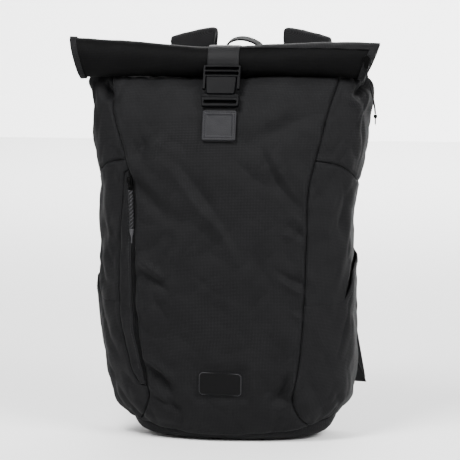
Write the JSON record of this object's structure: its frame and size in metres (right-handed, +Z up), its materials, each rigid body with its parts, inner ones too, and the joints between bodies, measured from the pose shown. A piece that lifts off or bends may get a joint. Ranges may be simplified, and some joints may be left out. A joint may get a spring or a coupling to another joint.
{
  "type": "rolltop backpack",
  "caption": "Soft rolltop backpack with a rolled and buckled mouth, a zipped front pocket, slanted side pockets, a padded back, shoulder straps and a haul handle; stands on its flat base",
  "frame": {"origin": "on the floor plane, at the middle of the flat base that the bag stands on", "axes": "+Z up the bag, -Y out of its front, +X to the right of someone who looks at the front"},
  "size_m": [0.3718, 0.2131, 0.48],
  "materials": {
    "shell_nylon": "matt black woven nylon with a fine ripstop grid",
    "base_nylon": "matt black heavy woven nylon",
    "zip_tape": "black coil zip",
    "back_mesh": "black air mesh over foam",
    "webbing": "dark grey ribbed polyester webbing",
    "buckle_plastic": "moulded dark grey acetal",
    "patch_leather": "dark grey grained leather",
    "label_rubber": "bare matt black rubber label",
    "zip_metal": "black coated zinc",
    "pull_cord": "braided black cord with light flecks"
  },
  "bodies": {
    "root": {"front_panel": "shell_nylon", "zip_strip": "shell_nylon", "side_upper_left": "shell_nylon", "side_upper_right": "shell_nylon", "side_lower_left": "shell_nylon", "side_lower_right": "shell_nylon", "bottle_pocket_left": "shell_nylon", "bottle_pocket_right": "shell_nylon", "rear_top": "shell_nylon", "rolled_top": "shell_nylon", "strap_wing_left": "shell_nylon", "strap_wing_right": "shell_nylon", "base_panel": "base_nylon", "zip_tape": "zip_tape", "back_panel": "back_mesh", "back_pad_left": "back_mesh", "back_pad_right": "back_mesh", "shoulder_strap_left": "back_mesh", "shoulder_strap_right": "back_mesh", "closure_strap_upper": "webbing", "closure_strap_lower": "webbing", "strap_webbing_left": "webbing", "strap_webbing_right": "webbing", "haul_handle": "webbing", "buckle_male": "buckle_plastic", "buckle_female": "buckle_plastic", "strap_lock_left": "buckle_plastic", "strap_lock_right": "buckle_plastic", "strap_patch": "patch_leather", "label_patch": "label_rubber", "front_zip_slider": "zip_metal", "top_zip_slider": "zip_metal", "front_zip_cord": "pull_cord", "front_zip_tip": "pull_cord", "top_zip_cord": "pull_cord", "top_zip_tip": "pull_cord"}
  },
  "joints": []
}
